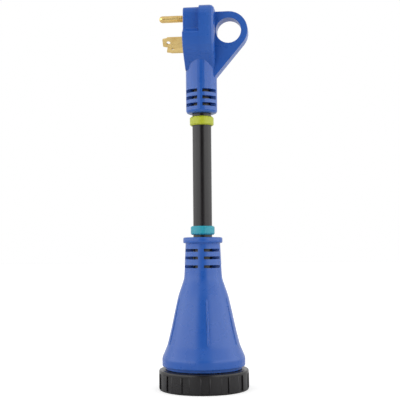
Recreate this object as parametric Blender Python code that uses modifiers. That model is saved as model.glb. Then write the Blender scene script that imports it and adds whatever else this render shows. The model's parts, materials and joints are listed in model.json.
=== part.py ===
"""Dogbone power adapter for a caravan: a right-angle plug with a finger handle, a short
heavy cord, and a locking connector with a threaded collar ring.

Metres, +Z up. The origin is the centre of the connector's socket face. The cord runs up
+Z, the plug's prongs point along -X and its handle along +X.
"""

import math

import bmesh
import bpy
from mathutils import Matrix, Vector

GAP = 0.0003  # clearance between pieces that touch
PAST = 0.0010  # how far a cutter runs past the face it opens

# Collar ring
RING_RADIUS = 0.0410
RING_BOTTOM = -0.0020
RING_HEIGHT = 0.0184
RING_TOP = RING_BOTTOM + RING_HEIGHT
RING_CHAMFER = 0.0022
RING_BORE = 0.0364
THREAD_DEPTH = 0.0010
THREAD_PITCH = 0.0040
THREAD_TURNS = 2
LIP_RADIUS = 0.0332
LIP_HEIGHT = 0.0038
GRIP_COUNT = 14
GRIP_FIRST = math.radians(-81.7)
GRIP_WIDTH = 0.0080
GRIP_DEPTH = 0.0010
GRIP_BOTTOM = RING_BOTTOM + 0.0016
GRIP_TOP = RING_TOP - 0.0032

# Socket
SOCKET_RADIUS = 0.0275
SHOULDER_Z = 0.0085
FACE_TOP = SHOULDER_Z - GAP
SHOULDER_RADIUS = 0.0356
SHOULDER_TOP = RING_TOP - LIP_HEIGHT - GAP
SPIGOT_RADIUS = 0.0327
SPIGOT_TOP = 0.0260
RETAINER_THICKNESS = 0.0030
RETAINER_BOTTOM = SPIGOT_TOP + GAP
RETAINER_TOP = RETAINER_BOTTOM + RETAINER_THICKNESS
GASKET_INNER = SOCKET_RADIUS + GAP
GASKET_OUTER = 0.0350
GASKET_THICKNESS = 0.0018

# Contacts
CONTACT_RADIUS = 0.0195
GROUND_RADIUS = 0.0247
POCKET_WIDTH = 0.0040
STRIP_THICKNESS = 0.0011
STRIP_BOTTOM = 0.0020
BARREL_BOTTOM = 0.0320
BARREL_TOP = 0.0420
BARREL_RADIUS = 0.0026
BARREL_CIRCLE = 0.0207
GROUND_BARREL_CIRCLE = 0.0234
POWER_HALF_ARC = math.radians(20)
GROUND_HALF_ARC = math.radians(12)
LINE_1_ANGLE = math.radians(300)
LINE_2_ANGLE = math.radians(180)
NEUTRAL_ANGLE = math.radians(60)
GROUND_ANGLE = math.radians(120)
TWIN_BARREL_OFFSET = math.radians(12)
SCREW_X = 0.0090
SCREW_RADIUS = 0.0014
SCREW_HEAD_RADIUS = 0.0027
SCREW_HEAD_HEIGHT = 0.0018
SCREW_TIP = 0.0030

# Connector housing
BELL_BOTTOM = RING_TOP + 0.0030
SKIRT_RADIUS = 0.0350
SKIRT_BOTTOM = RING_TOP + 0.0005
RIM_RADIUS = 0.03795
RIM_TOP = 0.0272
CONE_FOOT = (0.0332, 0.0383)  # radius, height
CONE_HEAD = (0.0231, 0.0825)
CONE_WALL = 0.0040
NECK_TOP = 0.1313
FLANGE_TOP = 0.1366
FLANGE_RADIUS = 0.0181
RIB_ANGLES = (-153, -76, -19, 56, 131)
RIB_WIDTH = 0.0020
RIB_HEIGHT = 0.0009

# Cord
CORD_RADIUS = 0.0087
JACKET_INNER = 0.0062
BORE_RADIUS = CORD_RADIUS + GAP
JACKET_BOTTOM = 0.1074
JACKET_TOP = 0.2860
PASSAGE_RADIUS = 0.0075
WIRE_RADIUS = 0.0026
CORE_RADIUS = 0.0014
CORE_BORE = CORE_RADIUS + GAP
WIRE_CIRCLE = 0.0032
BAND_RADIUS = 0.0110
BAND_HEIGHT = 0.0080
LOWER_BAND_BOTTOM = 0.1389
UPPER_BAND_BOTTOM = 0.2395

# Plug
NECK_RADIUS = 0.01435
PLUG_BOTTOM = 0.2505
FACE_X = -0.0152
STEP_X = 0.0
BACK_X = 0.0138
HEAD_HALF_WIDTH = 0.0203
HEAD_TOP = 0.3484
NOSE_HALF_WIDTH = 0.0140
NOSE_TOP = 0.3478
HEAD_EDGE = 0.0010
REAR_ROUNDING = 0.0042
DRAFT_TOP = 0.3150
DRAFT_SLOPE = 0.055
CARRIER_WALL = 0.0014
CARRIER_BACK = -0.0065
CHAMBER_BACK = 0.0080
CHAMBER_WALL = 0.0020
PIN_Z = 0.3396
PIN_RADIUS = 0.00315
PIN_LENGTH = 0.0238
PIN_BARREL_BOTTOM = 0.3270
BLADE_Z = 0.3146
BLADE_Y = 0.0136
BLADE_WIDTH = 0.0104
BLADE_THICKNESS = 0.0019
BLADE_LENGTH = 0.0184
BLADE_TIP_WIDTH = 0.0070
BLADE_TAPER = 0.0044
BLADE_HOLE_RADIUS = 0.0019
BLADE_HOLE_FROM_TIP = 0.0052
BLADE_TILT = math.radians(45)
TAIL_X = 0.0010
BLADE_BARREL_Y = 0.0090
BLADE_BARREL_BOTTOM = 0.3035
BLADE_BARREL_TOP = 0.3124
HANDLE_X = 0.0260
HANDLE_Z = 0.3258
HANDLE_RADIUS = 0.0175
FINGER_RADIUS = 0.0116
HANDLE_HALF_THICKNESS = 0.00695
HANDLE_EDGE = 0.0005

# Strain relief slots: three rows, four slots to a row
PLUG_SLOT_ROWS = (0.2577, 0.2640, 0.2703)
NECK_SLOT_ROWS = (0.1099, 0.1178, 0.1247)
PLUG_SLOT_HEIGHT = 0.0031
NECK_SLOT_HEIGHT = 0.0026
SLOT_INNER = CORD_RADIUS

TURN_STEPS = 40


# Scene and materials

def clear_scene():
    for obj in list(bpy.data.objects):
        bpy.data.objects.remove(obj)


def collection(name):
    made = bpy.data.collections.new(name)
    bpy.context.scene.collection.children.link(made)
    return made


def material(name, colour, roughness, metallic=0.0):
    made = bpy.data.materials.new(name)
    made.use_nodes = True
    shader = made.node_tree.nodes["Principled BSDF"]
    shader.inputs["Base Color"].default_value = (*colour, 1.0)
    shader.inputs["Roughness"].default_value = roughness
    shader.inputs["Metallic"].default_value = metallic
    return made


def link(obj, group):
    group.objects.link(obj)
    return obj


def as_piece(obj, finish):
    """Makes obj one of the adapter's own pieces, with its material."""
    for group in list(obj.users_collection):
        group.objects.unlink(obj)
    PARTS.objects.link(obj)
    obj.data.materials.clear()
    obj.data.materials.append(finish)
    obj.data.shade_smooth()
    obj.data.set_sharp_from_angle(angle=math.radians(35))
    return obj


def as_cutter(obj):
    """Makes obj a guide that other pieces are cut by or joined with."""
    for group in list(obj.users_collection):
        group.objects.unlink(obj)
    CUTTERS.objects.link(obj)
    obj.hide_render = True
    obj.display_type = "WIRE"
    return obj


def boolean(obj, operation, *others):
    for other in others:
        as_cutter(other)
        modifier = obj.modifiers.new(operation.title(), "BOOLEAN")
        modifier.operation = operation
        modifier.object = other
    return obj


def cut(obj, *cutters):
    return boolean(obj, "DIFFERENCE", *cutters)


def join(obj, *others):
    return boolean(obj, "UNION", *others)


# Shapes

def turned(name, profile, steps=TURN_STEPS, closed=False):
    """Turns a profile of (radius, height) points round the Z axis, outer side downwards."""
    mesh = bpy.data.meshes.new(name)
    edges = [(i, i + 1) for i in range(len(profile) - 1)]
    if closed:
        edges.append((len(profile) - 1, 0))
    mesh.from_pydata([(r, 0.0, z) for r, z in profile], edges, [])
    obj = link(bpy.data.objects.new(name, mesh), CUTTERS)
    screw = obj.modifiers.new("Screw", "SCREW")
    screw.steps = screw.render_steps = steps
    screw.use_merge_vertices = True
    screw.merge_threshold = 0.00001
    return obj


def rod(name, radius, bottom, top, x=0.0, y=0.0, steps=16):
    """A solid cylinder along Z."""
    mesh = bpy.data.meshes.new(name)
    shape = bmesh.new()
    bmesh.ops.create_cone(shape, cap_ends=True, segments=steps, radius1=radius,
                          radius2=radius, depth=top - bottom)
    shape.to_mesh(mesh)
    shape.free()
    obj = link(bpy.data.objects.new(name, mesh), CUTTERS)
    obj.location = (x, y, (bottom + top) / 2)
    return obj


def box(name, low, high):
    mesh = bpy.data.meshes.new(name)
    size = [b - a for a, b in zip(low, high)]
    shape = bmesh.new()
    bmesh.ops.create_cube(shape, size=1.0, matrix=Matrix.Diagonal((*size, 1.0)))
    shape.to_mesh(mesh)
    shape.free()
    obj = link(bpy.data.objects.new(name, mesh), CUTTERS)
    obj.location = [(a + b) / 2 for a, b in zip(low, high)]
    return obj


def as_mesh(obj):
    """Replaces a curve with its closed mesh, in the same place."""
    evaluated = obj.evaluated_get(bpy.context.evaluated_depsgraph_get())
    mesh = bpy.data.meshes.new_from_object(evaluated)
    shape = bmesh.new()
    shape.from_mesh(mesh)
    bmesh.ops.remove_doubles(shape, verts=shape.verts, dist=0.00001)
    bmesh.ops.recalc_face_normals(shape, faces=shape.faces)
    shape.to_mesh(mesh)
    shape.free()
    name = obj.name
    place = obj.matrix_basis.copy()
    bpy.data.objects.remove(obj)
    made = link(bpy.data.objects.new(name, mesh), CUTTERS)
    made.matrix_basis = place
    return made


def plate(name, outlines, half_thickness, rotation=(0.0, 0.0, 0.0), location=(0.0, 0.0, 0.0)):
    """A flat outline, with any holes in it, given a thickness."""
    curve = bpy.data.curves.new(name, "CURVE")
    curve.dimensions = "2D"
    curve.fill_mode = "BOTH"
    curve.extrude = half_thickness
    for outline in outlines:
        spline = curve.splines.new("POLY")
        spline.points.add(len(outline) - 1)
        spline.use_cyclic_u = True
        for point, (x, y) in zip(spline.points, outline):
            point.co = (x, y, 0.0, 1.0)
    obj = link(bpy.data.objects.new(name, curve), CUTTERS)
    obj.rotation_euler = rotation
    obj.location = location
    bpy.context.view_layer.update()
    return as_mesh(obj)


def tube(name, points, radius, resolution=1):
    """A solid round wire along points."""
    curve = bpy.data.curves.new(name, "CURVE")
    curve.dimensions = "3D"
    curve.bevel_depth = radius
    curve.bevel_resolution = resolution
    curve.use_fill_caps = True
    spline = curve.splines.new("POLY")
    spline.points.add(len(points) - 1)
    for point, place in zip(spline.points, points):
        point.co = (*place, 1.0)
    obj = link(bpy.data.objects.new(name, curve), CUTTERS)
    bpy.context.view_layer.update()
    return as_mesh(obj)


def bevel(obj, width, segments=1, angle=35):
    modifier = obj.modifiers.new("Bevel", "BEVEL")
    modifier.width = width
    modifier.segments = segments
    modifier.limit_method = "ANGLE"
    modifier.angle_limit = math.radians(angle)
    return obj


def arc(centre, radius, start, end, count):
    """Points on an arc, from start to end in radians."""
    angles = [start + (end - start) * i / (count - 1) for i in range(count)]
    return [(centre[0] + radius * math.cos(a), centre[1] + radius * math.sin(a)) for a in angles]


def circle(centre, radius, count):
    return arc(centre, radius, 0.0, math.tau, count + 1)[:-1]


def sector(inner, outer, start, end, count=8):
    """The outline of a piece of a ring."""
    return arc((0, 0), outer, start, end, count) + arc((0, 0), inner, end, start, count)


def smooth_route(points, spacing):
    """Points along a smooth curve through the route's own points."""
    places = [Vector(p) for p in points]
    ends = [2 * places[0] - places[1], *places, 2 * places[-1] - places[-2]]
    route = []
    for a, b, c, d in zip(ends, ends[1:], ends[2:], ends[3:]):
        count = max(1, round((c - b).length / spacing))
        for i in range(count):
            t = i / count
            route.append(0.5 * (2 * b + (c - a) * t + (2 * a - 5 * b + 4 * c - d) * t ** 2
                                + (3 * b - a - 3 * c + d) * t ** 3))
    route.append(places[-1])
    return route


# Strain relief

def relief_slots(name, rows, radius, slot_height):
    """Four slots in each row, with a web left at the front, the back and each side."""
    front_web = math.radians(9.5)
    side_web = math.radians(17.3)
    outlines = []
    for quarter in range(4):
        start = quarter * math.pi / 2 + (side_web if quarter % 2 == 0 else front_web)
        end = (quarter + 1) * math.pi / 2 - (front_web if quarter % 2 == 0 else side_web)
        outlines.append(sector(SLOT_INNER, radius + 0.004, start, end))
    return [plate(f"{name}_{row}", outlines, slot_height / 2, location=(0, 0, height))
            for row, height in enumerate(rows)]


# Connector

def collar_ring():
    bottom, top, wall = RING_BOTTOM, RING_TOP, RING_RADIUS
    inner_edge = 0.0008
    profile = [
        (LIP_RADIUS, top),
        (wall - RING_CHAMFER, top),
        (wall - RING_CHAMFER * 0.3, top - RING_CHAMFER * 0.3),
        (wall, top - RING_CHAMFER),
        (wall, bottom + RING_CHAMFER),
        (wall - RING_CHAMFER * 0.3, bottom + RING_CHAMFER * 0.3),
        (wall - RING_CHAMFER, bottom),
        (RING_BORE + inner_edge, bottom),
        (RING_BORE, bottom + inner_edge),
    ]
    for turn in range(THREAD_TURNS):
        start = bottom + 0.0012 + turn * THREAD_PITCH
        profile += [
            (RING_BORE, start),
            (RING_BORE - THREAD_DEPTH, start + THREAD_DEPTH),
            (RING_BORE - THREAD_DEPTH, start + 2 * THREAD_DEPTH),
            (RING_BORE, start + 3 * THREAD_DEPTH),
        ]
    profile += [(RING_BORE, top - LIP_HEIGHT), (LIP_RADIUS, top - LIP_HEIGHT)]
    ring = turned("collar_ring", profile, steps=56, closed=True)
    half_width = math.asin(GRIP_WIDTH / 2 / RING_RADIUS)
    recesses = []
    for i in range(GRIP_COUNT):
        angle = GRIP_FIRST + math.tau * i / GRIP_COUNT
        recesses.append(sector(RING_RADIUS - GRIP_DEPTH, RING_RADIUS + 0.003,
                               angle - half_width, angle + half_width, 3))
    cut(ring, plate("grip_recesses", recesses, (GRIP_TOP - GRIP_BOTTOM) / 2,
                    location=(0, 0, (GRIP_TOP + GRIP_BOTTOM) / 2)))
    return as_piece(ring, BLACK_NYLON)


def pocket(name, radius, half_arc, angle, bottom, top):
    """The arc-shaped pocket that holds one contact and takes one blade."""
    inner, outer = radius - POCKET_WIDTH / 2, radius + POCKET_WIDTH / 2
    outline = sector(inner, outer, angle - half_arc, angle + half_arc)
    return plate(name, [outline], (top - bottom) / 2, location=(0, 0, (bottom + top) / 2))


POCKETS = (
    ("line_1", CONTACT_RADIUS, POWER_HALF_ARC, LINE_1_ANGLE),
    ("line_2", CONTACT_RADIUS, POWER_HALF_ARC, LINE_2_ANGLE),
    ("neutral", CONTACT_RADIUS, POWER_HALF_ARC, NEUTRAL_ANGLE),
    ("ground", GROUND_RADIUS, GROUND_HALF_ARC, GROUND_ANGLE),
)


def pocketed(piece, bottom, top, screw_bottom):
    """Cuts the contacts' pockets and the two screws' holes through a piece of the socket."""
    name = piece.name
    for contact_name, radius, half_arc, angle in POCKETS:
        cut(piece, pocket(f"{name}_{contact_name}", radius, half_arc, angle, bottom - PAST, top + PAST))
    for side in (-1, 1):
        cut(piece, rod(f"{name}_hole_{side}", SCREW_RADIUS + GAP, screw_bottom, top + PAST, side * SCREW_X))
    return as_piece(piece, BLACK_NYLON)


def socket_face():
    """The front disc, whose slots let the inlet's blades in."""
    profile = [
        (0.0, FACE_TOP),
        (SOCKET_RADIUS, FACE_TOP),
        (SOCKET_RADIUS, 0.0008),
        (SOCKET_RADIUS - 0.0008, 0.0),
        (0.0, 0.0),
    ]
    return pocketed(turned("socket_face", profile), 0.0, FACE_TOP, SCREW_TIP - PAST)


def socket_insert():
    """The body of the socket, whose shoulder holds the collar ring on."""
    profile = [
        (0.0, SPIGOT_TOP),
        (SPIGOT_RADIUS, SPIGOT_TOP),
        (SPIGOT_RADIUS, SHOULDER_TOP),
        (SHOULDER_RADIUS, SHOULDER_TOP),
        (SHOULDER_RADIUS, SHOULDER_Z),
        (0.0, SHOULDER_Z),
    ]
    return pocketed(turned("socket_insert", profile), SHOULDER_Z, SPIGOT_TOP, SHOULDER_Z - PAST)


def contact_retainer():
    profile = [
        (0.0, RETAINER_TOP),
        (SPIGOT_RADIUS - GAP, RETAINER_TOP),
        (SPIGOT_RADIUS - GAP, RETAINER_BOTTOM),
        (0.0, RETAINER_BOTTOM),
    ]
    retainer = turned("contact_retainer", profile)
    return pocketed(retainer, RETAINER_BOTTOM, RETAINER_TOP, RETAINER_BOTTOM - PAST)


def retainer_screw(name, side):
    head = RETAINER_TOP + GAP
    profile = [
        (0.0, head + SCREW_HEAD_HEIGHT),
        (SCREW_HEAD_RADIUS, head + SCREW_HEAD_HEIGHT),
        (SCREW_HEAD_RADIUS, head),
        (SCREW_RADIUS, head),
        (SCREW_RADIUS, SCREW_TIP + 0.001),
        (0.0006, SCREW_TIP),
        (0.0, SCREW_TIP),
    ]
    screw = turned(name, profile, steps=16)
    screw.location.x = side * SCREW_X
    return as_piece(screw, STEEL)


def gasket():
    top = SHOULDER_Z - GAP
    bottom = top - GASKET_THICKNESS
    profile = [(GASKET_INNER, top), (GASKET_OUTER, top), (GASKET_OUTER, bottom), (GASKET_INNER, bottom)]
    return as_piece(turned("sealing_gasket", profile, closed=True), RUBBER)


def contact(name, radius, half_arc, angle, barrels):
    """A spring strip in its pocket, with one crimp barrel for each wire."""
    outer = radius + POCKET_WIDTH / 2 - GAP
    strip_arc = half_arc - math.radians(2)
    outline = sector(outer - STRIP_THICKNESS, outer, angle - strip_arc, angle + strip_arc)
    top = BARREL_BOTTOM + 0.002
    strip = plate(name, [outline], (top - STRIP_BOTTOM) / 2,
                  location=(0, 0, (top + STRIP_BOTTOM) / 2))
    for i, (barrel_radius, barrel_angle) in enumerate(barrels):
        x = barrel_radius * math.cos(barrel_angle)
        y = barrel_radius * math.sin(barrel_angle)
        join(strip, rod(f"{name}_barrel_{i}", BARREL_RADIUS, BARREL_BOTTOM, BARREL_TOP, x, y))
        cut(strip, rod(f"{name}_bore_{i}", CORE_BORE, BARREL_BOTTOM + 0.003, BARREL_TOP + PAST, x, y, 12))
    return as_piece(strip, BRASS)


def bell_profile():
    """The housing's outer side, from the flange down to the rim and the skirt inside it."""
    edge = 0.0018
    return [
        (FLANGE_RADIUS - edge, FLANGE_TOP),
        (FLANGE_RADIUS - edge * 0.3, FLANGE_TOP - edge * 0.3),
        (FLANGE_RADIUS, FLANGE_TOP - edge),
        (FLANGE_RADIUS, NECK_TOP + edge),
        (FLANGE_RADIUS - edge * 0.3, NECK_TOP + edge * 0.3),
        (0.0159, NECK_TOP),
        (0.0172, 0.1027),
        (0.0176, 0.0990),
        (0.0187, 0.0953),
        (0.0213, 0.0880),
        CONE_HEAD,
        (0.0256, 0.0715),
        (0.0295, 0.0530),
        CONE_FOOT,
        (RIM_RADIUS, RIM_TOP),
        (RIM_RADIUS, BELL_BOTTOM + 0.001),
        (RIM_RADIUS - 0.001, BELL_BOTTOM),
        (SKIRT_RADIUS, BELL_BOTTOM),
        (SKIRT_RADIUS, SKIRT_BOTTOM),
    ]


def connector_housing():
    inside = [
        (SPIGOT_RADIUS + GAP, SKIRT_BOTTOM),
        (SPIGOT_RADIUS + GAP, RETAINER_TOP + 0.0005),
        (CONE_FOOT[0] - CONE_WALL, CONE_FOOT[1]),
        (CONE_HEAD[0] - CONE_WALL - 0.0009, CONE_HEAD[1]),
        (BORE_RADIUS, 0.0990),
        (BORE_RADIUS, FLANGE_TOP),
    ]
    housing = turned("connector_housing", bell_profile() + inside, closed=True)
    cut(housing, *relief_slots("neck_slot", NECK_SLOT_ROWS, 0.0166, NECK_SLOT_HEIGHT))
    for i, angle in enumerate(RIB_ANGLES):
        join(housing, bell_rib(i, math.radians(angle)))
    return as_piece(housing, BLUE_PVC)


def bell_rib(i, angle):
    """A raised grip rib that runs down the cone, square to it."""
    top_radius, top = CONE_HEAD
    foot_radius, foot = CONE_FOOT
    root = 0.0010
    end = 0.0002
    outline = [
        (top_radius - root, top),
        (top_radius + end, top + 0.001),
        (top_radius + RIB_HEIGHT, top - 0.003),
        (foot_radius + RIB_HEIGHT, foot + 0.003),
        (foot_radius + end, foot - 0.001),
        (foot_radius - root, foot),
    ]
    rib = plate(f"bell_rib_{i}", [outline], RIB_WIDTH / 2, rotation=(math.pi / 2, 0, 0))
    rib.matrix_basis = Matrix.Rotation(angle, 4, "Z") @ rib.matrix_basis
    return rib


# Cord

def cord_jacket():
    profile = [
        (CORD_RADIUS, JACKET_TOP),
        (CORD_RADIUS, JACKET_BOTTOM),
        (JACKET_INNER, JACKET_BOTTOM),
        (JACKET_INNER, JACKET_TOP),
    ]
    return as_piece(turned("cord_jacket", profile, steps=32, closed=True), BLACK_RUBBER)


def beyond(end, neighbour):
    """A point past the end of a route, in line with it."""
    return end + (end - neighbour) * 0.5


def wire(name, finish, points):
    """An insulated conductor: the insulation stops short of each crimp barrel."""
    route = smooth_route(points, 0.012)
    covered = route[1:-1]
    insulation = tube(f"{name}_wire", covered, WIRE_RADIUS)
    bore = [beyond(covered[0], covered[1]), *covered, beyond(covered[-1], covered[-2])]
    cut(insulation, tube(f"{name}_wire_bore", bore, CORE_BORE))
    as_piece(insulation, finish)
    as_piece(tube(f"{name}_conductor", route, CORE_RADIUS), COPPER)


def polar(radius, angle, height):
    return (radius * math.cos(angle), radius * math.sin(angle), height)


def wire_points(barrel_radius, barrel_angle, lay_angle, plug_end):
    """From a socket barrel, through the jacket, to a barrel in the plug."""
    lay = [polar(WIRE_CIRCLE, lay_angle, z) for z in (0.096, 0.110, 0.195, 0.275, 0.284)]
    middle = polar(0.6 * barrel_radius + 0.4 * WIRE_CIRCLE,
                   0.7 * barrel_angle + 0.3 * lay_angle, 0.068)
    return [
        polar(barrel_radius, barrel_angle, BARREL_BOTTOM + 0.0045),
        polar(barrel_radius, barrel_angle, BARREL_TOP + 0.0010),
        polar(barrel_radius - 0.0012, barrel_angle, BARREL_TOP + 0.0070),
        middle,
        *lay,
        *plug_end,
    ]


def line_jumper():
    """Joins the two line contacts, because the plug has only one hot blade."""
    radius = BARREL_CIRCLE
    start = LINE_2_ANGLE
    end = LINE_1_ANGLE - TWIN_BARREL_OFFSET
    middle = (start + end) / 2
    points = [
        polar(radius, start, BARREL_BOTTOM + 0.0045),
        polar(radius, start, BARREL_TOP + 0.0020),
        polar(radius - 0.001, start + 0.25, BARREL_TOP + 0.0100),
        polar(radius - 0.002, middle, BARREL_TOP + 0.0130),
        polar(radius - 0.001, end - 0.25, BARREL_TOP + 0.0100),
        polar(radius, end, BARREL_TOP + 0.0020),
        polar(radius, end, BARREL_BOTTOM + 0.0045),
    ]
    return as_piece(tube("line_jumper", smooth_route(points, 0.006), CORE_RADIUS), COPPER)


def colour_band(name, bottom, finish):
    edge = 0.0010
    top = bottom + BAND_HEIGHT
    profile = [
        (BORE_RADIUS, top),
        (BAND_RADIUS - edge, top),
        (BAND_RADIUS, top - edge),
        (BAND_RADIUS, bottom + edge),
        (BAND_RADIUS - edge, bottom),
        (BORE_RADIUS, bottom),
    ]
    return as_piece(turned(name, profile, steps=40, closed=True), finish)


# Plug

def head_sides(inset=0.0):
    """Half widths and heights of the head's side, from the neck up to its full width."""
    return [(0.0085 - inset, 0.2900), (0.0140 - inset, 0.2985), (0.0173 - inset, 0.3045),
            (0.0194 - inset, 0.3110), (HEAD_HALF_WIDTH - inset, 0.3180)]


def mirrored(side):
    """A closed outline from its right half, which runs from the bottom up."""
    return side + [(-y, z) for y, z in reversed(side)]


def head_outline(inset=0.0):
    corner = 0.0090 - inset / 2
    top = HEAD_TOP - inset
    centre = (HEAD_HALF_WIDTH - inset - corner, top - corner)
    return mirrored(head_sides(inset) + arc(centre, corner, 0.0, math.pi / 2, 5))


def nose_outline(inset=0.0):
    corner = 0.0055 - inset / 2
    top = NOSE_TOP - inset
    width = NOSE_HALF_WIDTH - inset
    centre = (width - corner, top - corner)
    shoulder = [(HEAD_HALF_WIDTH - inset, 0.3224 - inset * 0.3), (width, 0.3270 - inset * 0.3)]
    return mirrored(head_sides(inset) + shoulder + arc(centre, corner, 0.0, math.pi / 2, 4))


FACING_X = (math.pi / 2, 0, math.pi / 2)
FACING_Y = (math.pi / 2, 0, 0)


def slab(name, outline, x_low, x_high):
    """An outline seen along X, given a thickness from x_low to x_high."""
    return plate(name, [outline], (x_high - x_low) / 2, FACING_X, ((x_low + x_high) / 2, 0, 0))


def drafted(obj):
    """Leans the lower front of a slab back towards the neck."""
    mesh = obj.data
    place = obj.matrix_basis
    back = place.inverted()
    front = min((place @ v.co).x for v in mesh.vertices)
    for vertex in mesh.vertices:
        point = place @ vertex.co
        if point.x < front + 0.0001 and point.z < DRAFT_TOP:
            point.x += (DRAFT_TOP - point.z) * DRAFT_SLOPE
            vertex.co = back @ point
    return obj


def rounded_rear(obj, width):
    """Rounds the edges round a slab's rear face."""
    shape = bmesh.new()
    shape.from_mesh(obj.data)
    rear = max((obj.matrix_basis @ v.co).x for v in shape.verts)
    outer = [e for e in shape.edges
             if all((obj.matrix_basis @ v.co).x > rear - 0.0001 for v in e.verts)
             and e.calc_face_angle() > math.radians(35)]
    bmesh.ops.bevel(shape, geom=outer, offset=width, segments=3, profile=0.5, affect="EDGES")
    shape.to_mesh(obj.data)
    shape.free()
    return obj


def handle_outline():
    """The ear, from the top of the neck round the finger hole and down the slanting edge."""
    foot = (0.0100, 0.2798)
    root = (0.0050, HANDLE_Z + HANDLE_RADIUS)
    to_centre = (HANDLE_X - foot[0], HANDLE_Z - foot[1])
    distance = math.hypot(*to_centre)
    swing = math.acos(HANDLE_RADIUS / distance)
    tangent = math.atan2(-to_centre[1], -to_centre[0]) + swing
    rim = arc((HANDLE_X, HANDLE_Z), HANDLE_RADIUS, math.pi / 2, tangent, 13)
    return [foot, root, *rim]


def plug_housing():
    rounding = 0.0024
    core_radius = NECK_RADIUS - 0.0012
    core_top = 0.3300
    bore_top = JACKET_TOP + GAP
    profile = [
        (0.0, core_top),
        (core_radius, core_top),
        (core_radius, 0.3150),
        (NECK_RADIUS, 0.2950),
        (NECK_RADIUS, PLUG_BOTTOM + rounding),
        (NECK_RADIUS - rounding * 0.3, PLUG_BOTTOM + rounding * 0.3),
        (NECK_RADIUS - rounding, PLUG_BOTTOM),
        (BORE_RADIUS, PLUG_BOTTOM),
        (BORE_RADIUS, bore_top),
        (0.0, bore_top),
    ]
    housing = turned("plug_housing", profile)
    back = rounded_rear(slab("head_back", head_outline(), STEP_X, BACK_X), REAR_ROUNDING)
    nose = bevel(drafted(slab("head_nose", nose_outline(0.0001), FACE_X, STEP_X + 0.003)), HEAD_EDGE)
    hole = circle((HANDLE_X, HANDLE_Z), FINGER_RADIUS, 28)
    ear = plate("handle_ear", [handle_outline(), hole], HANDLE_HALF_THICKNESS, FACING_Y)
    join(housing, back, nose, bevel(ear, HANDLE_EDGE))
    carrier_space = slab("carrier_space", nose_outline(CARRIER_WALL - GAP),
                         FACE_X - 0.002, CARRIER_BACK + GAP)
    chamber = slab("crimp_chamber", nose_outline(CHAMBER_WALL), CARRIER_BACK, CHAMBER_BACK)
    cut(housing, carrier_space, chamber)
    cut(housing, rod("wire_passage", PASSAGE_RADIUS, bore_top - PAST, 0.3000, steps=32))
    cut(housing, *relief_slots("plug_slot", PLUG_SLOT_ROWS, NECK_RADIUS, PLUG_SLOT_HEIGHT))
    return as_piece(housing, BLUE_PVC)


def blade_slot(name, side):
    """The slot in the carrier that holds one blade."""
    slot = box(name, (-0.025, -BLADE_WIDTH / 2 - GAP, -BLADE_THICKNESS / 2 - GAP),
               (0.005, BLADE_WIDTH / 2 + GAP, BLADE_THICKNESS / 2 + GAP))
    slot.rotation_euler = (blade_turn(side), 0, 0)
    slot.location = (-0.010, side * BLADE_Y, BLADE_Z)
    return slot


def blade_turn(side):
    """The turn about X that stands a blade at 45 degrees, top end outwards."""
    return math.pi / 2 - side * BLADE_TILT


def blade_carrier():
    carrier = drafted(slab("blade_carrier", nose_outline(CARRIER_WALL), FACE_X, CARRIER_BACK))
    for side in (-1, 1):
        cut(carrier, blade_slot(f"blade_slot_{side}", side))
    hole = rod("pin_hole", PIN_RADIUS + GAP, -0.012, 0.012, steps=24)
    hole.rotation_euler = (0, math.pi / 2, 0)
    hole.location = (-0.010, 0, PIN_Z)
    cut(carrier, hole)
    return as_piece(carrier, BLACK_NYLON)


def barrel(piece, y, bottom, top):
    """A crimp barrel on the inner end of a prong, open downwards."""
    join(piece, rod(f"{piece.name}_barrel", BARREL_RADIUS, bottom, top, TAIL_X, y))
    cut(piece, rod(f"{piece.name}_bore", CORE_BORE, bottom - PAST, bottom + 0.007, TAIL_X, y, 12))


def blade(name, side):
    tip = FACE_X - BLADE_LENGTH
    half = BLADE_WIDTH / 2
    outline = [
        (TAIL_X, -half),
        (TAIL_X, half),
        (tip + BLADE_TAPER, half),
        (tip + BLADE_TAPER, half - 0.0006),
        (tip, BLADE_TIP_WIDTH / 2),
        (tip, -BLADE_TIP_WIDTH / 2),
        (tip + BLADE_TAPER, -half + 0.0006),
        (tip + BLADE_TAPER, -half),
    ]
    hole = circle((tip + BLADE_HOLE_FROM_TIP, 0), BLADE_HOLE_RADIUS, 16)
    made = plate(name, [outline, hole], BLADE_THICKNESS / 2,
                 (blade_turn(side), 0, 0), (0, side * BLADE_Y, BLADE_Z))
    barrel(made, side * BLADE_BARREL_Y, BLADE_BARREL_BOTTOM, BLADE_BARREL_TOP)
    return as_piece(made, BRASS)


def ground_pin():
    """A turned pin with a rounded end and a grooved root."""
    nose = arc((0, 0), PIN_RADIUS, math.pi / 2, 0.0, 6)
    length = PIN_LENGTH - FACE_X + TAIL_X
    straight = length - PIN_RADIUS
    root = -FACE_X + TAIL_X
    groove = 0.00025
    profile = [(r, straight + z) for r, z in nose]
    for i in range(3, -1, -1):
        start = root + 0.0018 * i
        profile.append((PIN_RADIUS, start + 0.0006))
        profile.append((PIN_RADIUS - groove, start + 0.0003))
        profile.append((PIN_RADIUS, start))
    profile += [(PIN_RADIUS, 0.0), (0.0, 0.0)]
    pin = turned("ground_pin", profile, steps=24)
    pin.matrix_basis = Matrix.Translation((TAIL_X, 0, PIN_Z)) @ Matrix.Rotation(-math.pi / 2, 4, "Y")
    barrel(pin, 0.0, PIN_BARREL_BOTTOM, PIN_Z - PAST)
    return as_piece(pin, BRASS)


clear_scene()
PARTS = collection("dogbone_adapter")
CUTTERS = collection("cutters")

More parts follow.
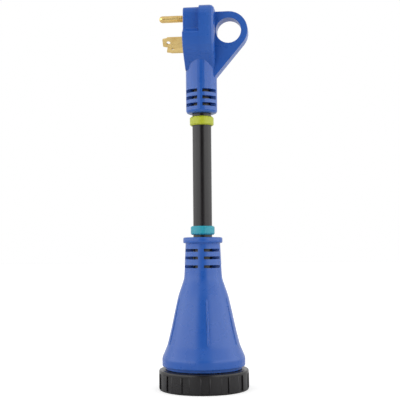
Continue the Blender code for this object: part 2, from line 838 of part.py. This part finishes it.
BLUE_PVC = material("blue_pvc", (0.035, 0.105, 0.42), 0.42)
BLACK_NYLON = material("black_nylon", (0.025, 0.024, 0.026), 0.45)
BLACK_RUBBER = material("black_rubber", (0.022, 0.021, 0.023), 0.5)
RUBBER = material("grey_rubber", (0.06, 0.06, 0.062), 0.7)
BRASS = material("brass", (0.80, 0.55, 0.20), 0.25, 1.0)
COPPER = material("copper", (0.75, 0.36, 0.22), 0.35, 1.0)
STEEL = material("steel", (0.55, 0.55, 0.56), 0.3, 1.0)
YELLOW = material("yellow_green", (0.62, 0.68, 0.05), 0.45)
TURQUOISE = material("turquoise", (0.03, 0.42, 0.50), 0.45)
WHITE = material("white_insulation", (0.75, 0.75, 0.73), 0.5)
GREEN = material("green_insulation", (0.03, 0.30, 0.08), 0.5)
BLACK = material("black_insulation", (0.02, 0.02, 0.02), 0.5)

collar_ring()
socket_face()
socket_insert()
contact_retainer()
retainer_screw("retainer_screw_1", -1)
retainer_screw("retainer_screw_2", 1)
gasket()
LINE_BARRELS = (
    (BARREL_CIRCLE, LINE_1_ANGLE + TWIN_BARREL_OFFSET),
    (BARREL_CIRCLE, LINE_1_ANGLE - TWIN_BARREL_OFFSET),
)
contact("line_1_contact", CONTACT_RADIUS, POWER_HALF_ARC, LINE_1_ANGLE, LINE_BARRELS)
contact("line_2_contact", CONTACT_RADIUS, POWER_HALF_ARC, LINE_2_ANGLE, [(BARREL_CIRCLE, LINE_2_ANGLE)])
contact("neutral_contact", CONTACT_RADIUS, POWER_HALF_ARC, NEUTRAL_ANGLE, [(BARREL_CIRCLE, NEUTRAL_ANGLE)])
contact("ground_contact", GROUND_RADIUS, GROUND_HALF_ARC, GROUND_ANGLE,
        [(GROUND_BARREL_CIRCLE, GROUND_ANGLE)])
connector_housing()

cord_jacket()
line_jumper()
colour_band("turquoise_band", LOWER_BAND_BOTTOM, TURQUOISE)
colour_band("yellow_band", UPPER_BAND_BOTTOM, YELLOW)

plug_housing()
blade_carrier()
blade("hot_blade", -1)
blade("neutral_blade", 1)
ground_pin()

HOT_END = [(0.0013, -0.0044, 0.2920), (TAIL_X, -0.0062, 0.2958), (TAIL_X, -0.0083, 0.2998),
           (TAIL_X, -BLADE_BARREL_Y, 0.3026), (TAIL_X, -BLADE_BARREL_Y, 0.3085)]
NEUTRAL_END = [(x, -y, z) for x, y, z in HOT_END]
GROUND_END = [(-0.0034, 0, 0.2930), (0.0002, 0, 0.3050), (TAIL_X, 0, 0.3200), (TAIL_X, 0, 0.3325)]
wire("hot", BLACK, wire_points(BARREL_CIRCLE, LINE_BARRELS[0][1], math.radians(300), HOT_END))
wire("neutral", WHITE, wire_points(BARREL_CIRCLE, NEUTRAL_ANGLE, math.radians(60), NEUTRAL_END))
wire("ground", GREEN, wire_points(GROUND_BARREL_CIRCLE, GROUND_ANGLE, math.radians(180), GROUND_END))
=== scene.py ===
"""Looks for the dogbone power adapter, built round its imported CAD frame.

Metres, +Z up, in the frame's own axes: the cord runs up +Z from the connector to the plug.
"""

import json
import math

import bmesh
import bpy
from mathutils import Matrix, Vector

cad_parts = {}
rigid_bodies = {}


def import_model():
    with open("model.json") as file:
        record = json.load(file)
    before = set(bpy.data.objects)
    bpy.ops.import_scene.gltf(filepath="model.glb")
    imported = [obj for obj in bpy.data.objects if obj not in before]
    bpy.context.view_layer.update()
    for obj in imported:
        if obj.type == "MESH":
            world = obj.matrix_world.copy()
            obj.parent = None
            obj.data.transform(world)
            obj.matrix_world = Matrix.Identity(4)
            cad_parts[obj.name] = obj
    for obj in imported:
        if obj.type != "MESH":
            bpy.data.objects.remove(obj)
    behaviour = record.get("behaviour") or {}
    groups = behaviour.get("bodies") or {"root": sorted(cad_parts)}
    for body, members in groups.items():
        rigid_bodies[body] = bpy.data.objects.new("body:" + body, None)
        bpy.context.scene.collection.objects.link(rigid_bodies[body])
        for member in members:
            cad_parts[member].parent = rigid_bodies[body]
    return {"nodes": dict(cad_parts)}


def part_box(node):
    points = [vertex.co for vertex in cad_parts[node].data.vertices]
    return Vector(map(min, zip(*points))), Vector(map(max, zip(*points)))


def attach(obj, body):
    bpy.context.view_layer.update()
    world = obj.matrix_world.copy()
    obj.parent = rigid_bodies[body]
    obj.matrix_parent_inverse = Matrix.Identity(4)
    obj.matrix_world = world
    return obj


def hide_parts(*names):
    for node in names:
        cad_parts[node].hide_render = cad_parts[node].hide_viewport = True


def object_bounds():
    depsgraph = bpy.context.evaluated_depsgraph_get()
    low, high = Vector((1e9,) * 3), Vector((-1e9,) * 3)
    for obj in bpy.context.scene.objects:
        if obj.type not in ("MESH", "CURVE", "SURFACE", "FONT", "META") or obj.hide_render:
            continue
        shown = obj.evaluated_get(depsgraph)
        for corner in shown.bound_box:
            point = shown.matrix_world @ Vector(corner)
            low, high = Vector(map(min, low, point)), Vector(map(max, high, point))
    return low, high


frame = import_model()
cad_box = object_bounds()

# The frame's bodies
ADAPTER = "adapter"
COLLAR = "collar"

# Camera, read off the view: level with the connector's neck and a little behind the plug's face.
# The lens and the sensor are in millimetres, and the upward shift is a share of the frame's width.
CAMERA_DISTANCE = 0.782
CAMERA_AZIMUTH = math.radians(6.5)
CAMERA_HEIGHT = 0.1266
CAMERA_PITCH = math.radians(1.63)
CAMERA_ROLL = math.radians(-0.5)
CAMERA_TURN = math.radians(0.18)
CAMERA_LENS = 76.5
CAMERA_SENSOR = 36.0
CAMERA_SHIFT = 0.0600

# Strengths of the tent's light: its sides, its top, the gap round the camera and the far side
SIDE_LIGHT = 2.2
TOP_LIGHT = 0.7
GAP_LIGHT = 0.03
BACK_LIGHT = 0.9

# Where the light fades from one to the next: level angles from the camera's side of the object,
# and heights on a sphere of radius 1
GAP_CORE = math.radians(12)
GAP_EDGE = math.radians(30)
BACK_EDGE = math.radians(95)
BACK_CORE = math.radians(130)
TOP_START = 0.30
TOP_FULL = 0.80

# The paper that the object stands on, and how bright the camera sees the empty tent
PAPER_COLOUR = (0.74, 0.74, 0.74)
PAPER_GLOW = 0.50
PAPER_REACH = 6.0
PURE_WHITE = (1.0, 1.0, 1.0)
SEEN_LIGHT = 1.0

# Cord: the points along it, and the roundness of its section
CORD_POINTS = 25
CORD_ROUNDNESS = 12

# Connector housing: sizes that its box doesn't give
HOUSING_STEPS = 144
HOUSING_EDGE = 0.0004
HOUSING_FILLET = 0.0003
CORD_BORE = 0.0090
FLANGE_RADIUS = 0.0181
NECK_TOP = 0.1313
NECK_FOOT = 0.0990
CONE_HEAD = Vector((0.0231, 0.0825))  # radius, height
CONE_FOOT = Vector((0.0332, 0.0383))
CONE_HEAD_BORE = 0.0182
CONE_FOOT_BORE = 0.0292
RIM_TOP = 0.0272
BELL_BOTTOM = 0.0194
SKIRT_RADIUS = 0.0350
SPIGOT_BORE = 0.0330
SPIGOT_BORE_TOP = 0.0298

# The neck's strain relief slots
NECK_SLOT_ROWS = (0.1099, 0.1178, 0.1247)
SLOT_HEIGHT = 0.0026
SLOT_INNER = 0.0087
SLOT_OUTER = 0.0206
SLOT_FRONT_WEB = math.radians(9.5)
SLOT_SIDE_WEB = math.radians(17.3)

# Ribs on the bell: the bulge and the sink are shares of a rib's height, the end width is a share
# of its width, and the steepness says how fast its ends rise
RIB_ANGLES = (-153, -76, -19, 56, 131)  # degrees
RIB_WIDTH = 0.0020
RIB_HEIGHT = 0.0009
RIB_BULGE = 0.9
RIB_SINK = 0.25
RIB_END_WIDTH = 0.3
RIB_END_STEEPNESS = 6.0

# Collar ring: sizes that its box doesn't give
RING_STEPS = 168
RING_BORE = 0.0364
RING_LIP = 0.0332
RING_LIP_HEIGHT = 0.0038
RING_LIP_FILLET = 0.0005
RING_CHAMFER = 0.0022
RING_INSET = 0.0004
RING_CORNER = 0.0012
RING_EDGE = 0.0006

# Grip recesses in the ring, how far their cutters run past its wall, and the rounded bead along
# each upright side of a recess
GRIP_COUNT = 14
GRIP_FIRST = math.radians(-81.7)
GRIP_WIDTH = 0.0080
GRIP_DEPTH = 0.0010
GRIP_ABOVE_FOOT = 0.0016
GRIP_BELOW_TOP = 0.0032
GRIP_CUT_PAST = 0.0030
BEAD_HALF_WIDTH = 0.0006
BEAD_RISE = 0.0005
BEAD_END_RISE = 0.0002
BEAD_ROOT = 0.0003
BEAD_PAST_GRIP = 0.0002

# Rounding: the most of a side that one corner takes, what counts as an edge, and edge widths
FILLET_SHARE = 0.48
BEVEL_ANGLE = math.radians(32)
BEVEL_SEGMENTS = 2
PLUG_EDGE = 0.0005
FACE_EDGE = 0.0003
BLADE_EDGE = 0.0002


# Node trees

class NodeTree:
    """Short calls for building a node tree."""

    def __init__(self, tree):
        self.nodes = tree.nodes
        self.links = tree.links

    def feed(self, socket, value):
        """Links a node's output to the socket, or sets it to a number, vector or RGB colour."""
        if isinstance(value, bpy.types.NodeSocket):
            self.links.new(value, socket)
        elif socket.type == "RGBA":
            socket.default_value = (*value, 1.0)
        else:
            socket.default_value = value

    def add(self, kind, *inputs, **settings):
        """A new node with its settings made and its first inputs fed."""
        node = self.nodes.new(kind)
        for name, value in settings.items():
            setattr(node, name, value)
        for socket, value in zip(node.inputs, inputs):
            self.feed(socket, value)
        return node

    def between(self, factor, low, high, start=0.0, end=1.0, interpolation="LINEAR"):
        """A number from low to high as factor goes from start to end."""
        node = self.add("ShaderNodeMapRange", factor, start, end, low, high,
                        interpolation_type=interpolation)
        return node.outputs["Result"]

    def blend(self, factor, first, second):
        """A number from first to second as factor goes from 0 to 1."""
        node = self.add("ShaderNodeMix", factor)
        self.feed(node.inputs["A"], first)
        self.feed(node.inputs["B"], second)
        return node.outputs["Result"]

    def vector(self, operation, *inputs):
        """A node that does vector arithmetic."""
        return self.add("ShaderNodeVectorMath", *inputs, operation=operation)


# Materials

class Shader(NodeTree):
    """A Principled material with short calls for its node tree."""

    def __init__(self, name, colour, roughness, metallic=0.0, specular=0.5):
        self.material = bpy.data.materials.new(name)
        self.material.use_nodes = True
        super().__init__(self.material.node_tree)
        self.principled = self.nodes["Principled BSDF"]
        self.give("Base Color", colour)
        self.give("Roughness", roughness)
        self.give("Metallic", metallic)
        self.give("Specular IOR Level", specular)
        self.place = self.add("ShaderNodeTexCoord").outputs["Object"]

    def give(self, socket, value):
        """Sets or links one of the Principled node's own sockets."""
        self.feed(self.principled.inputs[socket], value)

    def noise(self, scale, detail, stretch=None):
        """Noise in object space, with its axes scaled unevenly for grain that runs one way."""
        place = self.place
        if stretch:
            mapping = self.add("ShaderNodeMapping", self.place)
            self.feed(mapping.inputs["Scale"], stretch)
            place = mapping.outputs["Vector"]
        node = self.add("ShaderNodeTexNoise", place)
        self.feed(node.inputs["Scale"], scale)
        self.feed(node.inputs["Detail"], detail)
        return node.outputs["Fac"]

    def mix(self, factor, first, second):
        """A colour from first to second as factor goes from 0 to 1."""
        node = self.add("ShaderNodeMix", factor, data_type="RGBA")
        # A Mix node has an A, a B and a Result for each data type: these are the colour ones
        colour_a, colour_b, result = node.inputs[6], node.inputs[7], node.outputs[2]
        self.feed(colour_a, first)
        self.feed(colour_b, second)
        return result

    def bump(self, height, strength, distance, below=None):
        """Relief on the surface, which can lie on top of another relief."""
        node = self.add("ShaderNodeBump")
        self.feed(node.inputs["Strength"], strength)
        self.feed(node.inputs["Distance"], distance)
        self.feed(node.inputs["Height"], height)
        if below:
            self.feed(node.inputs["Normal"], below)
        self.give("Normal", node.outputs["Normal"])
        return node.outputs["Normal"]


def moulded(name, colour, worn, roughness, grain=900.0):
    """Moulded plastic: fine grain, faint flow marks and edges rubbed a little paler."""
    shader = Shader(name, colour, roughness)
    flow = shader.between(shader.noise(scale=26.0, detail=4.0), 0.0, 0.22, start=0.35, end=0.70)
    tinted = shader.mix(flow, colour, worn)
    pointiness = shader.add("ShaderNodeNewGeometry").outputs["Pointiness"]
    rubbed = shader.between(pointiness, 0.0, 0.45, start=0.52, end=0.60)
    shader.give("Base Color", shader.mix(rubbed, tinted, worn))
    patches = shader.noise(scale=70.0, detail=5.0)
    shader.give("Roughness", shader.between(patches, roughness - 0.05, roughness + 0.07))
    fine = shader.bump(shader.noise(scale=grain, detail=2.0), strength=0.35, distance=0.00006)
    shader.bump(shader.noise(scale=38.0, detail=2.0), strength=0.25, distance=0.0004, below=fine)
    return shader.material


def cord_rubber(name, colour, worn):
    """An extruded jacket: faint lines along it and a soft sheen."""
    shader = Shader(name, colour, roughness=0.28)
    lines = shader.noise(scale=1.0, detail=3.0, stretch=(900.0, 900.0, 14.0))
    wear = shader.between(lines, 0.0, 0.4, start=0.45, end=0.75)
    shader.give("Base Color", shader.mix(wear, colour, worn))
    shader.give("Roughness", shader.between(shader.noise(scale=60.0, detail=4.0), 0.25, 0.34))
    shader.bump(lines, strength=0.3, distance=0.00012)
    return shader.material


def metal(name, colour, worn, roughness, stretch):
    """Plated or bare metal with drawn lines and a little tarnish."""
    shader = Shader(name, colour, roughness, metallic=1.0)
    stains = shader.noise(scale=160.0, detail=5.0)
    tarnish = shader.between(stains, 0.0, 0.55, start=0.45, end=0.72)
    shader.give("Base Color", shader.mix(tarnish, colour, worn))
    lines = shader.noise(scale=1.0, detail=4.0, stretch=stretch)
    brushed = shader.between(lines, roughness - 0.08, roughness + 0.14, start=0.3, end=0.7)
    shader.give("Roughness", brushed)
    shader.bump(lines, strength=0.25, distance=0.00008)
    return shader.material


# Name, colour, colour where it is worn, roughness, and the scale of the grain or drawn lines
BLUE = moulded("blue_pvc", (0.012, 0.092, 0.42), (0.05, 0.15, 0.48), 0.27)
BLACK = moulded("black_nylon", (0.0045, 0.0036, 0.0046), (0.016, 0.013, 0.016), 0.27, grain=1300.0)
CORD = cord_rubber("black_rubber", (0.0045, 0.0032, 0.0042), (0.010, 0.008, 0.010))
GASKET = moulded("grey_rubber", (0.045, 0.045, 0.047), (0.09, 0.09, 0.09), 0.7, grain=700.0)
BRASS = metal("brass", (0.98, 0.72, 0.29), (0.74, 0.46, 0.15), 0.26, (12.0, 700.0, 700.0))
CONTACT = metal("contact_brass", (0.80, 0.55, 0.22), (0.5, 0.32, 0.12), 0.3, (500.0, 500.0, 20.0))
COPPER = metal("copper", (0.78, 0.40, 0.26), (0.45, 0.20, 0.12), 0.35, (900.0, 900.0, 60.0))
STEEL = metal("steel", (0.60, 0.60, 0.61), (0.38, 0.38, 0.38), 0.3, (600.0, 600.0, 600.0))
YELLOW = moulded("yellow_green", (0.42, 0.48, 0.006), (0.50, 0.54, 0.04), 0.35)
TURQUOISE = moulded("turquoise", (0.003, 0.30, 0.40), (0.03, 0.36, 0.45), 0.35)
WHITE = moulded("white_insulation", (0.74, 0.74, 0.71), (0.85, 0.85, 0.83), 0.45)
GREEN = moulded("green_insulation", (0.02, 0.26, 0.07), (0.05, 0.35, 0.12), 0.45)
DARK = moulded("black_insulation", (0.018, 0.018, 0.018), (0.04, 0.04, 0.04), 0.45)

FINISHES = {
    "plug_housing": BLUE,
    "connector_housing": BLUE,
    "blade_carrier": BLACK,
    "contact_retainer": BLACK,
    "socket_face": BLACK,
    "socket_insert": BLACK,
    "collar_ring": BLACK,
    "sealing_gasket": GASKET,
    "ground_pin": BRASS,
    "hot_blade": BRASS,
    "neutral_blade": BRASS,
    "line_1_contact": CONTACT,
    "line_2_contact": CONTACT,
    "neutral_contact": CONTACT,
    "ground_contact": CONTACT,
    "retainer_screw_1": STEEL,
    "retainer_screw_2": STEEL,
    "cord_jacket": CORD,
    "yellow_band": YELLOW,
    "turquoise_band": TURQUOISE,
    "hot_wire": DARK,
    "neutral_wire": WHITE,
    "ground_wire": GREEN,
    "hot_conductor": COPPER,
    "neutral_conductor": COPPER,
    "ground_conductor": COPPER,
    "line_jumper": COPPER,
}


def finish_cad_nodes():
    for name, material in FINISHES.items():
        mesh = frame["nodes"][name].data
        mesh.materials.clear()
        mesh.materials.append(material)


# Shared shapes

def show(obj, body, slot, material, *nodes):
    """Adds a finished piece to the scene, in place of any CAD nodes that it stands for."""
    bpy.context.scene.collection.objects.link(obj)
    obj.data.materials.clear()
    obj.data.materials.append(material)
    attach(obj, body)
    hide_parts(*nodes)
    return obj


def filleted(corners, count=5):
    """A closed outline of (radius, height, fillet) corners with the corners rounded off."""
    points = [Vector(corner[:2]) for corner in corners]
    outline = []
    for i, (point, corner) in enumerate(zip(points, corners)):
        fillet = corner[2]
        before = points[i - 1] - point
        after = points[(i + 1) % len(points)] - point
        start = point + before.normalized() * min(fillet, before.length * FILLET_SHARE)
        end = point + after.normalized() * min(fillet, after.length * FILLET_SHARE)
        for k in range(count):
            t = k / (count - 1)
            outline.append(start * (1 - t) ** 2 + point * 2 * t * (1 - t) + end * t ** 2)
    return outline


def mesh_object(name, places, faces):
    """An object with outward normals; it isn't linked to the scene yet."""
    shape = bmesh.new()
    vertices = [shape.verts.new(place) for place in places]
    for face in faces:
        shape.faces.new([vertices[i] for i in face])
    bmesh.ops.recalc_face_normals(shape, faces=shape.faces)
    mesh = bpy.data.meshes.new(name)
    shape.to_mesh(mesh)
    shape.free()
    return bpy.data.objects.new(name, mesh)


def turned(name, outline, steps):
    """A closed outline of (radius, height) points turned round the Z axis."""
    count = len(outline)
    places = []
    for step in range(steps):
        angle = math.tau * step / steps
        places += [(r * math.cos(angle), r * math.sin(angle), z) for r, z in outline]
    faces = []
    for step in range(steps):
        here = step * count
        there = (step + 1) % steps * count
        for i in range(count):
            j = (i + 1) % count
            faces.append((here + i, there + i, there + j, here + j))
    return mesh_object(name, places, faces)


def sector_blocks(name, sectors, count=16):
    """Solid blocks that are pieces of rings: (inner, outer, start, end, bottom, top) each."""
    places, faces = [], []
    for inner, outer, start, end, bottom, top in sectors:
        first = len(places)
        for k in range(count):
            angle = start + (end - start) * k / (count - 1)
            for r, z in ((inner, bottom), (outer, bottom), (outer, top), (inner, top)):
                places.append((r * math.cos(angle), r * math.sin(angle), z))
        for k in range(count - 1):
            a = first + 4 * k
            b = a + 4
            faces += [(a + i, b + i, b + (i + 1) % 4, a + (i + 1) % 4) for i in range(4)]
        last = first + 4 * (count - 1)
        faces.append((first, first + 1, first + 2, first + 3))
        faces.append((last + 3, last + 2, last + 1, last))
    return mesh_object(name, places, faces)


def finished(obj, edge, cutter=None):
    """Cuts obj, rounds its edges and shades it smooth, as one plain mesh."""
    scene = bpy.context.scene.collection.objects
    scene.link(obj)
    if cutter:
        scene.link(cutter)
        cut = obj.modifiers.new("Cut", "BOOLEAN")
        cut.operation = "DIFFERENCE"
        cut.object = cutter
    obj.data.shade_smooth()
    bevel = obj.modifiers.new("Bevel", "BEVEL")
    bevel.width = edge
    bevel.segments = BEVEL_SEGMENTS
    bevel.limit_method = "ANGLE"
    bevel.angle_limit = BEVEL_ANGLE
    bevel.use_clamp_overlap = True
    bevel.harden_normals = True
    evaluated = obj.evaluated_get(bpy.context.evaluated_depsgraph_get())
    mesh = bpy.data.meshes.new_from_object(evaluated)
    name = obj.name
    bpy.data.objects.remove(obj)
    if cutter:
        bpy.data.objects.remove(cutter)
    return bpy.data.objects.new(name, mesh)


# Cord

def cord():
    """The whole jacket as one line, which goes into both housings."""
    low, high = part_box("cord_jacket")
    curve = bpy.data.curves.new("cord", "CURVE")
    curve.dimensions = "3D"
    curve.bevel_depth = (high.x - low.x) / 2
    curve.bevel_resolution = CORD_ROUNDNESS
    curve.use_fill_caps = True
    spline = curve.splines.new("POLY")
    spline.points.add(CORD_POINTS - 1)
    for i, point in enumerate(spline.points):
        height = low.z + (high.z - low.z) * i / (CORD_POINTS - 1)
        point.co = (0.0, 0.0, height, 1.0)
    obj = show(bpy.data.objects.new("cord", curve), ADAPTER, "black_rubber", CORD, "cord_jacket")


# Connector

def neck_slots():
    """Four slots in each row, with a web at the front, the back and each side."""
    webs = (SLOT_SIDE_WEB, SLOT_FRONT_WEB)
    sectors = []
    for height in NECK_SLOT_ROWS:
        bottom = height - SLOT_HEIGHT / 2
        top = height + SLOT_HEIGHT / 2
        for quarter in range(4):
            start = quarter * math.pi / 2 + webs[quarter % 2]
            end = (quarter + 1) * math.pi / 2 - webs[(quarter + 1) % 2]
            sectors.append((SLOT_INNER, SLOT_OUTER, start, end, bottom, top))
    return sector_blocks("neck_slots", sectors)


def housing_outline():
    """The housing's rounded outline, from (radius, height, fillet) corners."""
    low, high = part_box("connector_housing")
    rim = high.x
    flange = [
        (CORD_BORE, high.z, 0.0002),
        (FLANGE_RADIUS, high.z, 0.0018),
        (FLANGE_RADIUS, NECK_TOP, 0.0014),
    ]
    neck = [
        (0.0159, NECK_TOP, 0.0006),
        (0.0172, 0.1027, 0.0040),
        (0.0176, NECK_FOOT, 0.0030),
        (0.0187, 0.0953, 0.0030),
        (0.0213, 0.0880, 0.0040),
    ]
    cone = [
        (*CONE_HEAD, 0.0040),
        (0.0256, 0.0715, 0.0060),
        (0.0295, 0.0530, 0.0080),
        (*CONE_FOOT, 0.0024),
    ]
    rim_and_skirt = [
        (rim, RIM_TOP, 0.0016),
        (rim, BELL_BOTTOM, 0.0012),
        (SKIRT_RADIUS, BELL_BOTTOM, HOUSING_FILLET),
        (SKIRT_RADIUS, low.z, HOUSING_FILLET),
    ]
    inside = [
        (SPIGOT_BORE, low.z, HOUSING_FILLET),
        (SPIGOT_BORE, SPIGOT_BORE_TOP, HOUSING_FILLET),
        (CONE_FOOT_BORE, CONE_FOOT.y, HOUSING_FILLET),
        (CONE_HEAD_BORE, CONE_HEAD.y, HOUSING_FILLET),
        (CORD_BORE, NECK_FOOT, HOUSING_FILLET),
    ]
    return filleted(flange + neck + cone + rim_and_skirt + inside)


def bell_rib(name, angle):
    """A rounded ridge down the cone, which sinks into it at both ends."""
    along = CONE_FOOT - CONE_HEAD
    out = Vector((-along.y, along.x)).normalized()
    around = Vector((-math.sin(angle), math.cos(angle), 0.0))
    outward = Vector((math.cos(angle), math.sin(angle), 0.0))
    rows = 28
    across = 12
    places, faces = [], []
    for row in range(rows):
        t = row / (rows - 1)
        rise = min(1.0, math.sin(math.pi * t) * RIB_END_STEEPNESS) ** 0.5
        width = RIB_WIDTH * (RIB_END_WIDTH + (1.0 - RIB_END_WIDTH) * rise)
        base = CONE_HEAD + along * t
        for k in range(across):
            turn = math.tau * k / across
            lift = RIB_HEIGHT * (math.sin(turn) * rise * RIB_BULGE - RIB_SINK)
            point = base + out * lift
            side = around * (width / 2 * math.cos(turn))
            places.append(outward * point.x + Vector((0.0, 0.0, point.y)) + side)
    for row in range(rows - 1):
        for k in range(across):
            a = row * across + k
            b = row * across + (k + 1) % across
            faces.append((a, b, b + across, a + across))
    faces.append(tuple(range(across)))
    faces.append(tuple(range((rows - 1) * across, rows * across)))
    rib = mesh_object(name, places, faces)
    rib.data.shade_smooth()
    return rib


def connector_housing():
    bell = turned("bell_housing", housing_outline(), HOUSING_STEPS)
    housing = finished(bell, HOUSING_EDGE, neck_slots())
    show(housing, ADAPTER, "blue_pvc", BLUE, "connector_housing")
    for i, angle in enumerate(RIB_ANGLES):
        rib = bell_rib(f"bell_rib_{i}", math.radians(angle))
        show(rib, ADAPTER, "blue_pvc", BLUE)


# Collar ring

def ring_outline(wall, bottom, top):
    """The ring's rounded outline, from (radius, height, fillet) corners."""
    lip_bottom = top - RING_LIP_HEIGHT
    return filleted([
        (RING_LIP, top, RING_LIP_FILLET),
        (wall - RING_INSET, top, RING_CHAMFER),
        (wall, top - RING_CORNER, RING_CORNER),
        (wall, bottom + RING_CORNER, RING_CORNER),
        (wall - RING_INSET, bottom, RING_CHAMFER),
        (RING_BORE, bottom, 0.0008),
        (RING_BORE, lip_bottom, 0.0002),
        (RING_LIP, lip_bottom, RING_LIP_FILLET),
    ])


def grip_edges(angles, wall, bottom, top):
    """A rounded upright bead at each angle, along a side of a grip recess."""
    heights = (bottom, bottom + BEAD_RISE, top - BEAD_RISE, top)
    across = 7
    places, faces = [], []
    for angle in angles:
        first = len(places)
        for height in heights:
            lift = BEAD_RISE if bottom < height < top else BEAD_END_RISE
            for k in range(across):
                turn = math.pi * k / (across - 1)
                r = wall - BEAD_ROOT + lift * math.sin(turn)
                place = angle + BEAD_HALF_WIDTH * math.cos(turn) / wall
                places.append((r * math.cos(place), r * math.sin(place), height))
        for row in range(len(heights) - 1):
            for k in range(across):
                a = first + row * across + k
                b = first + row * across + (k + 1) % across
                faces.append((a, b, b + across, a + across))
        last = len(places) - across
        faces.append(tuple(range(first, first + across)))
        faces.append(tuple(range(last, last + across)))
    beads = mesh_object("grip_edges", places, faces)
    beads.data.shade_smooth()
    return beads


def collar_ring():
    low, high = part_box("collar_ring")
    wall, bottom, top = high.x, low.z, high.z
    grip_bottom = bottom + GRIP_ABOVE_FOOT
    grip_top = top - GRIP_BELOW_TOP
    half = math.asin(GRIP_WIDTH / 2 / wall)
    middles = [GRIP_FIRST + math.tau * i / GRIP_COUNT for i in range(GRIP_COUNT)]
    recesses = [(wall - GRIP_DEPTH, wall + GRIP_CUT_PAST, middle - half, middle + half,
                 grip_bottom, grip_top) for middle in middles]
    blank = turned("grip_ring", ring_outline(wall, bottom, top), RING_STEPS)
    ring = finished(blank, RING_EDGE, sector_blocks("grips", recesses))
    show(ring, COLLAR, "black_nylon", BLACK, "collar_ring")
    sides = [middle - half for middle in middles] + [middle + half for middle in middles]
    beads = grip_edges(sides, wall, grip_bottom - BEAD_PAST_GRIP, grip_top + BEAD_PAST_GRIP)
    show(beads, COLLAR, "black_nylon", BLACK)


# Plug

def softened(name, node, slot, material, edge):
    """The CAD piece's own shape with its edges rounded."""
    place = frame["nodes"][node].matrix_world.copy()
    obj = bpy.data.objects.new(name, frame["nodes"][node].data.copy())
    obj.matrix_world = place
    refined = finished(obj, edge)
    refined.matrix_world = place
    show(refined, ADAPTER, slot, material, node)


def plug():
    softened("plug_body", "plug_housing", "blue_pvc", BLUE, PLUG_EDGE)
    softened("plug_face", "blade_carrier", "black_nylon", BLACK, FACE_EDGE)
    softened("hot_prong", "hot_blade", "brass", BRASS, BLADE_EDGE)
    softened("neutral_prong", "neutral_blade", "brass", BRASS, BLADE_EDGE)


# Studio

def camera_back():
    """The level direction from the object towards the camera."""
    return Vector((math.sin(CAMERA_AZIMUTH), -math.cos(CAMERA_AZIMUTH), 0.0))


def sky(scene):
    """A white tent: bright to the sides, dim in a narrow gap round the camera, softer overhead."""
    world = bpy.data.worlds.new("studio")
    scene.world = world
    world.use_nodes = True
    tree = NodeTree(world.node_tree)
    direction = tree.add("ShaderNodeTexCoord").outputs["Generated"]
    level = tree.vector("MULTIPLY", direction, (1.0, 1.0, 0.0)).outputs["Vector"]
    heading = tree.vector("NORMALIZE", level).outputs["Vector"]
    facing = tree.vector("DOT_PRODUCT", heading, camera_back()).outputs["Value"]
    sides = tree.between(facing, BACK_LIGHT, SIDE_LIGHT, math.cos(BACK_CORE),
                         math.cos(BACK_EDGE), "SMOOTHSTEP")
    walls = tree.between(facing, sides, GAP_LIGHT, math.cos(GAP_EDGE),
                         math.cos(GAP_CORE), "SMOOTHSTEP")
    height = tree.add("ShaderNodeSeparateXYZ", direction).outputs["Z"]
    overhead = tree.between(height, 0.0, 1.0, TOP_START, TOP_FULL, "SMOOTHSTEP")
    tent = tree.blend(overhead, walls, TOP_LIGHT)
    seen = tree.add("ShaderNodeLightPath").outputs["Is Camera Ray"]
    background = tree.nodes["Background"]
    tree.feed(background.inputs["Color"], PURE_WHITE)
    tree.feed(background.inputs["Strength"], tree.blend(seen, tent, SEEN_LIGHT))


def floor():
    """Pale paper under the object, which glows a little where the camera sees it."""
    mesh = bpy.data.meshes.new("floor")
    corners = [(x * PAPER_REACH, y * PAPER_REACH, cad_box[0].z)
               for x, y in ((-1, -1), (1, -1), (1, 1), (-1, 1))]
    mesh.from_pydata(corners, [], [(0, 1, 2, 3)])
    obj = bpy.data.objects.new("floor", mesh)
    bpy.context.scene.collection.objects.link(obj)
    paper = Shader("white_paper", PAPER_COLOUR, roughness=0.9, specular=0.1)
    paper.give("Emission Color", PURE_WHITE)
    seen = paper.add("ShaderNodeLightPath").outputs["Is Camera Ray"]
    paper.give("Emission Strength", paper.between(seen, 0.0, PAPER_GLOW))
    mesh.materials.append(paper.material)


def studio():
    scene = bpy.context.scene
    scene.view_settings.view_transform = "Standard"
    sky(scene)
    floor()


def camera():
    data = bpy.data.cameras.new("camera")
    data.lens = CAMERA_LENS
    data.sensor_width = CAMERA_SENSOR
    data.shift_y = CAMERA_SHIFT
    obj = bpy.data.objects.new("camera", data)
    bpy.context.scene.collection.objects.link(obj)
    obj.matrix_world = (
        Matrix.Translation(camera_back() * CAMERA_DISTANCE + Vector((0, 0, CAMERA_HEIGHT)))
        @ Matrix.Rotation(CAMERA_AZIMUTH + CAMERA_TURN, 4, "Z")
        @ Matrix.Rotation(math.pi / 2 + CAMERA_PITCH, 4, "X")
        @ Matrix.Rotation(CAMERA_ROLL, 4, "Z")
    )
    bpy.context.scene.camera = obj


finish_cad_nodes()
cord()
connector_housing()
collar_ring()
plug()
studio()
camera()
